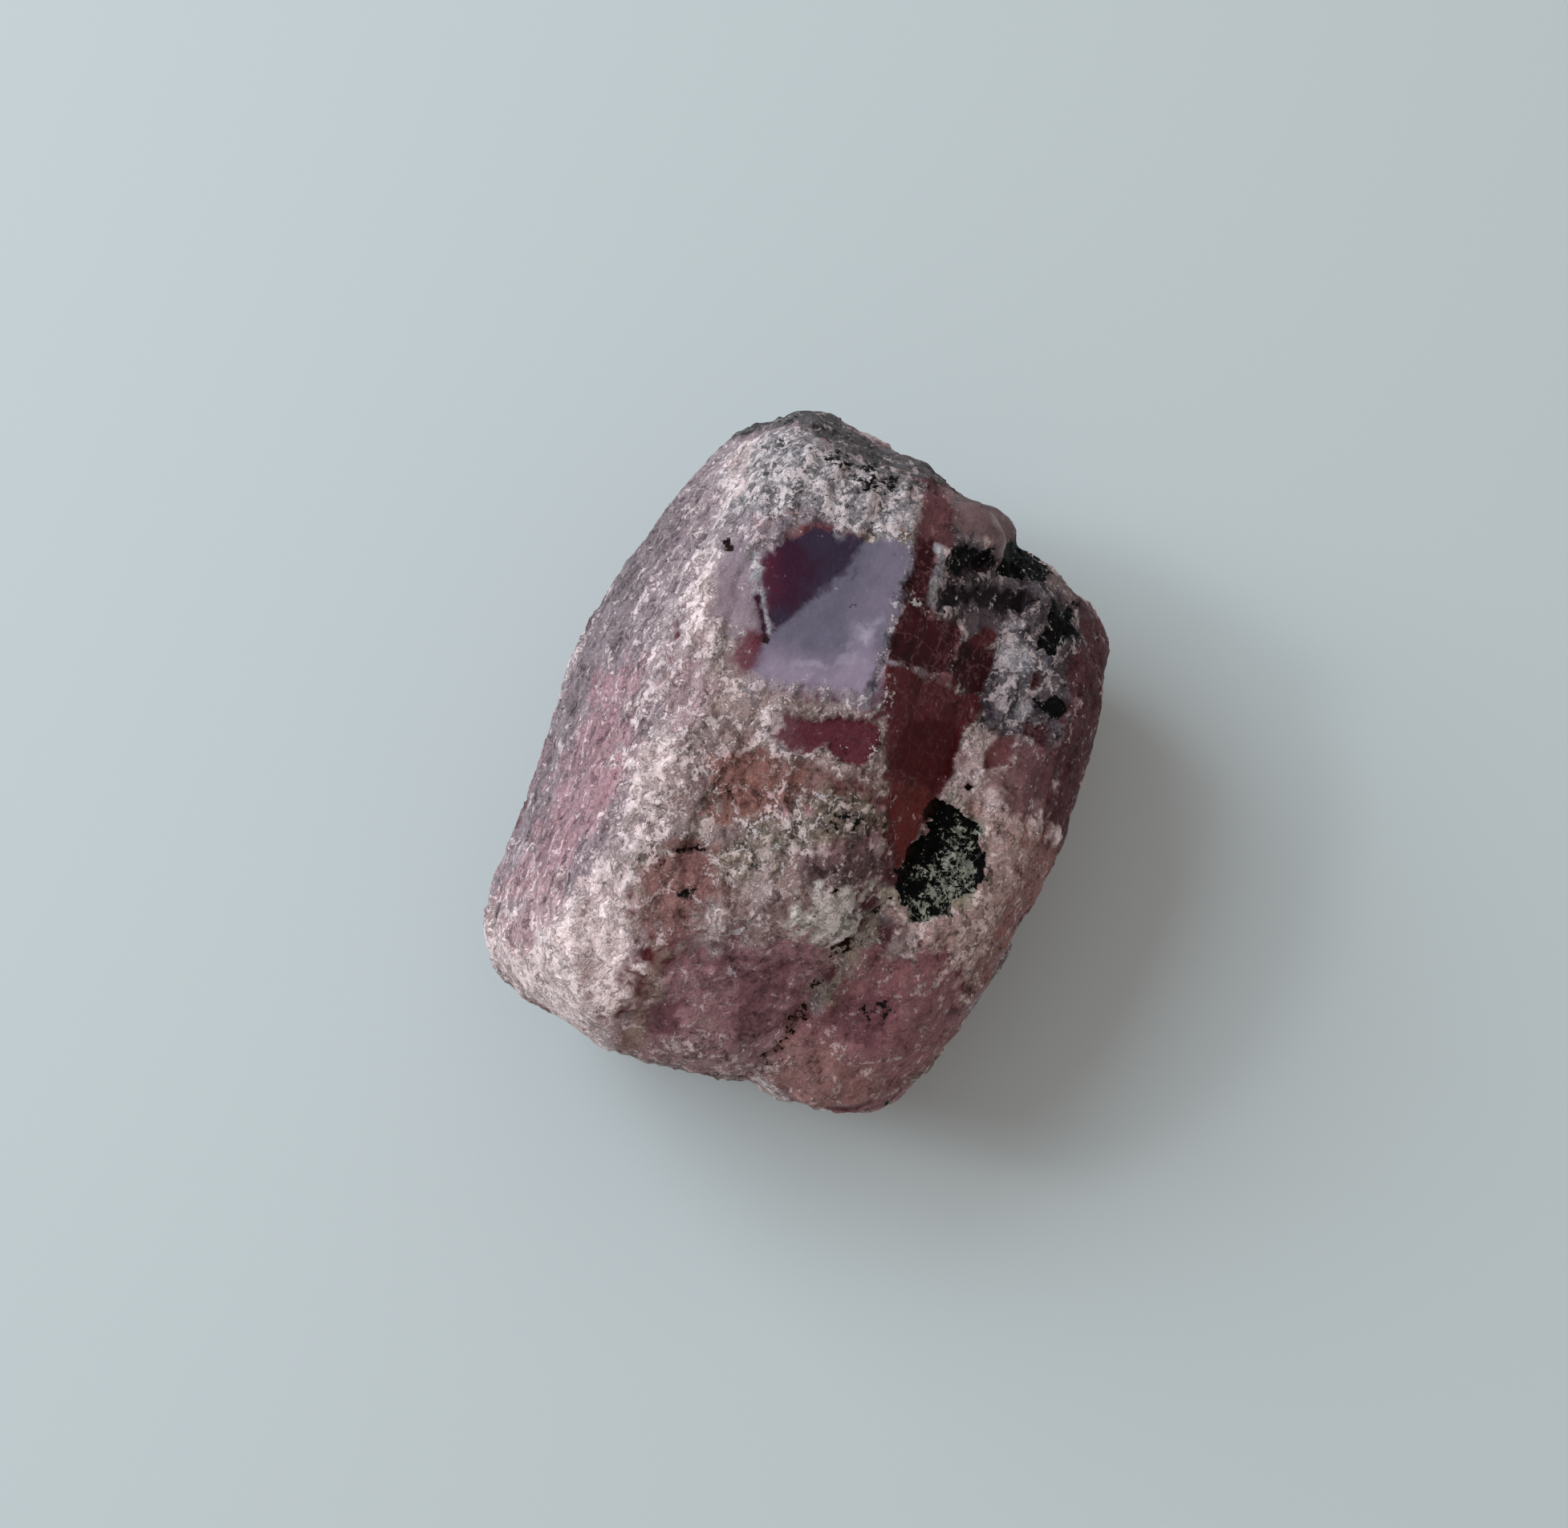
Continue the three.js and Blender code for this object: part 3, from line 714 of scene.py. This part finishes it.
def stonePatterns(start):
    # the patterns that the finishes share; sizes are per mm
    here = start.node("ShaderNodeTexCoord", out="Object")
    plain = start.node("ShaderNodeMapping", None, {"Vector": here, "Scale": (1 / millimetre,) * 3})

    def noiseFrom(vector, scale, detail, rough, distortion=0.0, out="Fac"):
        sockets = {"Vector": vector, "Scale": scale, "Detail": detail, "Roughness": rough,
                   "Distortion": distortion}
        return start.node("ShaderNodeTexNoise", None, sockets, out)

    def cellsFrom(vector, scale):
        # one random colour for each crystal grain
        return start.node("ShaderNodeTexVoronoi", None, {"Vector": vector, "Scale": scale}, "Color")

    def firstOf(cells):
        return start.node("ShaderNodeSeparateColor", None, {"Color": cells}, 0)

    sway = noiseFrom(plain, 2.2, 3, 0.6, out="Color").vector("SUBTRACT", (0.5, 0.5, 0.5))
    warped = plain.vector("ADD", sway.scaled(0.8))
    grown = warped.vector("MULTIPLY", (1.0, 0.28, 1.0))
    streak = start.zone("streak")
    lively = 1 + 1.6 * streak * (1 - streak)  # makes up for the two patterns evening each other out
    slanted = start.node("ShaderNodeMapping", {"vector_type": "TEXTURE"}, {
        "Vector": here, "Rotation": (0, 0, math.radians(-15)),
        "Scale": (millimetre, 4 * millimetre, millimetre)})
    crumbCells = cellsFrom(warped, 4.6)
    crumb = firstOf(crumbCells)
    speckCells = cellsFrom(warped, 10.0)
    speck = streak.mix(firstOf(speckCells), firstOf(cellsFrom(grown, 11.0)))
    fine = noiseFrom(plain, 8.0, 4, 0.68)
    net = start.node("ShaderNodeTexVoronoi", {"feature": "DISTANCE_TO_EDGE"},
                     {"Vector": warped, "Scale": 0.9}, "Distance")

    def drawnOut(even, along):
        # even noise that turns into the lengthwise one where the grains are drawn out
        return lively * (streak.mix(even, along) - 0.5)

    return {
        "mottle": noiseFrom(plain, 1.3, 5, 0.62) - 0.5,
        "drift": drawnOut(noiseFrom(plain, 2.6, 5, 0.7, 0.6), noiseFrom(grown, 3.0, 5, 0.7, 0.6)),
        "fine": fine - 0.5,
        "texture": drawnOut(fine, noiseFrom(grown, 8.5, 4, 0.68)),
        "blush": noiseFrom(grown, 1.1, 4, 0.6) - 0.5,
        "crumb": crumb - 0.5,
        "grain": streak.mix(crumb, firstOf(cellsFrom(grown, 5.0))) - 0.5,
        "crumbCells": crumbCells,
        "speckCells": speckCells,
        "speck": speck - 0.5,
        "net": net,  # distance from the borders between the large grains
        "largeGrain": firstOf(cellsFrom(warped, 0.9)) - 0.5,
        "vein": abs(noiseFrom(plain, 2.2, 5, 0.65, 0.8) - 0.5),
        "slant": noiseFrom(slanted, 1.6, 5, 0.6, 0.3) - 0.5,
        "lengthways": noiseFrom(plain.vector("MULTIPLY", (1.0, 0.22, 1.0)), 2.4, 4, 0.6, 0.2) - 0.5,
        "crossways": noiseFrom(plain.vector("MULTIPLY", (0.3, 1.0, 0.3)), 1.3, 3, 0.5, 0.2) - 0.5,
    }


def crustColour(start, pattern, tint):
    # body colour with pale flecks over it and dark gaps between the grains
    gloss = start.zone("gloss")
    body = start.node("ShaderNodeAttribute", {"attribute_name": "tint"}, None, "Color")
    redder = pattern["blush"].ramp(0.0, 0.14) * (1 - start.zone("fleck")) * (1 - gloss)
    redder = redder * stoneFinish["blushAmount"]
    body = redder.blend(body, body.vector("MULTIPLY", stoneFinish["blush"]))
    cloudy = pattern["mottle"] * 1.1 + pattern["drift"] * 0.6 + pattern["speck"] * 0.8
    cloudy = cloudy + pattern["grain"] * 0.5 + pattern["largeGrain"] * 0.3
    cloudy = cloudy + pattern["lengthways"] * start.zone("streak") * 0.5
    depths = pattern["slant"] * 0.6 + pattern["mottle"] * 0.5 + pattern["fine"] * 0.3
    veined = pattern["lengthways"] * 2 + pattern["mottle"] * 1.6 + pattern["fine"]
    depths = depths + start.zone("vein") * veined
    shading = 1.07 + gloss.mix(cloudy, depths)
    body = body.scaled(shading)
    # crumbs, and painted shade in their gaps, gather round the cleaved faces and between the large grains
    edge = start.zone("edge") | (pattern["net"] + pattern["fine"] * 0.2).ramp(0.1, 0.02) * (1 - gloss)
    gaps = start.zone("gap") + edge * 0.5
    # dark gaps: the body colour darkened, a painted shade between the grains
    gap = (gaps * 0.26 - 0.3 - pattern["lightness"]).ramp(0.0, 0.08) * (0.5 + 0.4 * gaps)
    surface = gap.blend(body, body.scaled(stoneFinish["gap"]))
    flecks = start.zone("fleck") + edge * 0.35
    fleck = (pattern["lightness"] + flecks * 0.4 - 0.27).ramp(0.0, 0.1) * (0.4 + 0.5 * flecks)
    pale = start.node("ShaderNodeMix", {"data_type": "RGBA"},
                      {0: stoneFinish["paleness"], 6: body.scaled(1.5), 7: tint["crustAndGlintWhite"]}, 2)
    pale = pale.scaled(0.93 + pattern["grain"] * 0.3 + pattern["speck"] * 0.35)
    surface = fleck.blend(surface, pale)
    # tiny pits painted dark: painted shade in them
    pit = pattern["speck"].ramp(-0.482, -0.488) * (1 - gloss * 0.7) * (1 - start.zone("fleck") * 0.8)
    pit = pit * (1 - start.zone("streak") * 0.7)
    return pit.blend(surface, tint["shadedCrack"]), fleck


def cleavageLines(start, pattern):
    # thin pale lines along and across the clear crystal
    along = abs(pattern["lengthways"]).ramp(0.035, 0.0)
    across = abs(pattern["crossways"]).ramp(0.022, 0.0)
    broken = (pattern["texture"] + 0.1).ramp(-0.02, 0.2)
    return (along | across) * broken * start.zone("vein") * stoneFinish["cleavageAmount"]


def blackColour(start, pattern, tint):
    # black mineral with branching sage flecks and a few painted glints
    flecked = start.zone("flecked")
    branches = (flecked * 0.03 - 0.012 - pattern["vein"] + pattern["fine"] * 0.1).ramp(-0.004, 0.016)
    spread = pattern["fine"] * 0.7 + pattern["drift"] + pattern["crumb"] * 0.2 + flecked * 0.2
    blobs = (spread - 0.19).ramp(0.0, 0.05)
    # painted glints on the black mineral
    shine = pattern["speck"].ramp(0.42, 0.43) * 0.35
    return (branches | blobs | shine).blend(tint["black"], tint["fleckAndGlintOnBlack"])


def makeStoneMaterial():
    material = bpy.data.materials.new("rubyStoneFinish")
    material.use_nodes = True
    tree = material.node_tree
    tree.nodes.clear()
    start = Wire(tree)
    tint = {name: colour(code) for name, code in stoneFinish.items() if isinstance(code, str)}
    pattern = stonePatterns(start)
    drift, fine, texture, grain = (pattern[n] for n in ("drift", "fine", "texture", "grain"))
    flakes = grain * start.zone("fleck") * 0.4
    pattern["lightness"] = drift + texture + flakes + pattern["mottle"] * 0.6 + pattern["speck"] * 0.12

    surface, fleck = crustColour(start, pattern, tint)
    surface = cleavageLines(start, pattern).blend(surface, tint["cleavage"])
    black = start.zone("black") + fine + pattern["speck"] * 0.3 - pattern["lightness"] * 0.9
    surface = black.ramp(0.4, 0.5).blend(surface, blackColour(start, pattern, tint))
    # painted glints: tiny white specks standing in for light mirrored by single grains
    paintedGlint = pattern["speck"].ramp(0.472, 0.480) * (1 - start.zone("gloss") * 0.93)
    surface = paintedGlint.blend(surface, tint["crustAndGlintWhite"])
    bleached = (start.zone("bleached") + fine * 1.5 + drift).ramp(0.42, 0.58)
    surface = bleached.blend(surface, tint["bleached"])
    # cracks painted dark: painted shade in them
    shadedCrack = (start.zone("shadedCrack") + fine * 1.5 + drift).ramp(0.45, 0.62)
    surface = shadedCrack.blend(surface, tint["shadedCrack"])

    gloss = start.zone("gloss")
    glassy = pattern["crumb"].ramp(0.34, 0.4) * (1 - gloss)
    roughness = gloss.mix(stoneFinish["crustRoughness"], stoneFinish["glassyRoughness"]) - glassy * 0.45
    height = texture * 0.7 + grain * 0.3 + fleck * 0.5 + pattern["speck"] * 0.2
    height = height * (1 - gloss * 0.88) + pattern["mottle"] * 0.1
    tilt = pattern["crumbCells"].vector("ADD", pattern["speckCells"]).vector("SUBTRACT", (1, 1, 1))
    tilt = tilt.scaled((1 - gloss) * (1 - start.zone("streak") * 0.7) * stoneFinish["grainTilt"])
    facing = start.node("ShaderNodeNewGeometry", out="Normal").vector("ADD", tilt).vector("NORMALIZE")
    bump = start.node("ShaderNodeBump", None, {
        "Height": height, "Distance": stoneFinish["bumpDepth"], "Strength": 1.0, "Normal": facing})
    shader = start.node("ShaderNodeBsdfPrincipled", None, {
        "Base Color": surface, "Roughness": roughness, "Normal": bump,
        "Subsurface Weight": stoneFinish["lightInside"], "Subsurface Radius": (0.5, 0.4, 0.4),
        "Subsurface Scale": stoneFinish["lightDepth"],
        "IOR": stoneFinish["refraction"], "Specular IOR Level": stoneFinish["shine"]})
    start.node("ShaderNodeOutputMaterial", None, {"Surface": shader})
    return material


floorFinish = {"colour": "d4dddf", "roughness": 0.75, "size": 0.6}


def makeFloor():
    mesh = bpy.data.meshes.new("floor")
    work = bmesh.new()
    bmesh.ops.create_grid(work, x_segments=1, y_segments=1, size=0.5 * floorFinish["size"])
    work.to_mesh(mesh)
    work.free()
    floor = bpy.data.objects.new("floor", mesh)
    bpy.context.scene.collection.objects.link(floor)
    material = bpy.data.materials.new("floorFinish")
    material.use_nodes = True
    shader = material.node_tree.nodes["Principled BSDF"]
    shader.inputs["Base Color"].default_value = colour(floorFinish["colour"])
    shader.inputs["Roughness"].default_value = floorFinish["roughness"]
    mesh.materials.append(material)


view = {
    "azimuth": 26.0,  # degrees round from the front
    "elevation": 78.0,
    "lens": 59.0,
    "distance": 0.080,  # metres, as are those below
    "aim": (-0.0003, 0.0004, 0.0067),
    "slideRight": -0.00057,
    "slideUp": 0.00005,
}


def viewAxes():
    azimuth, elevation = math.radians(view["azimuth"]), math.radians(view["elevation"])
    back = Vector((math.sin(azimuth) * math.cos(elevation), -math.cos(azimuth) * math.cos(elevation),
                   math.sin(elevation)))
    right = Vector((math.cos(azimuth), math.sin(azimuth), 0))
    return right, back.cross(right), back


def makeCamera():
    right, up, back = viewAxes()
    data = bpy.data.cameras.new("camera")
    data.lens = view["lens"]
    data.clip_start = 0.002
    data.clip_end = 5
    camera = bpy.data.objects.new("camera", data)
    place = Vector(view["aim"]) + back * view["distance"]
    place += right * view["slideRight"] + up * view["slideUp"]
    camera.matrix_world = Matrix.Translation(place) @ Matrix((right, up, back)).transposed().to_4x4()
    bpy.context.scene.collection.objects.link(camera)
    bpy.context.scene.camera = camera


studio = {  # the way to each light, its distance and size in metres, its watts and its colour
    "windowLight": ((-0.82, 0.0, 0.74), 0.35, 0.26, 0.86, (0.80, 0.92, 1.0)),
    "glintLight": ((-0.7, -0.2, 0.7), 0.35, 0.04, 0.1, (1.0, 1.0, 1.0)),
    "ceilingLight": ((-0.1, 0.25, 1.0), 0.45, 0.5, 0.18, (0.9, 0.95, 1.0)),
}
room = {"colour": (1.0, 0.91, 0.84, 1), "strength": 0.315}


def makeSoftLight(name, direction, distance, size, power, tone):
    data = bpy.data.lights.new(name, "AREA")
    data.shape = "SQUARE"
    data.size = size
    data.energy = power
    data.color = tone
    light = bpy.data.objects.new(name, data)
    toLight = Vector(direction).normalized()
    turned = toLight.to_track_quat("Z", "Y").to_matrix().to_4x4()
    light.matrix_world = Matrix.Translation(toLight * distance) @ turned
    bpy.context.scene.collection.objects.link(light)


def makeLights():
    for name, settings in studio.items():
        makeSoftLight(name, *settings)
    world = bpy.data.worlds.new("room")
    world.use_nodes = True
    background = world.node_tree.nodes["Background"]
    background.inputs["Color"].default_value = room["colour"]
    background.inputs["Strength"].default_value = room["strength"]
    bpy.context.scene.world = world
    bpy.context.scene.view_settings.view_transform = "Standard"


makeCamera()
makeLights()
makeFloor()
print("camera, lights and floor made")
stone = makeStone()
print("stone sculpted:", len(stone.data.polygons), "faces")
stone.data.materials.append(makeStoneMaterial())
print("finish made")
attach(stone, "root")
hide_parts("ruby_crystal")
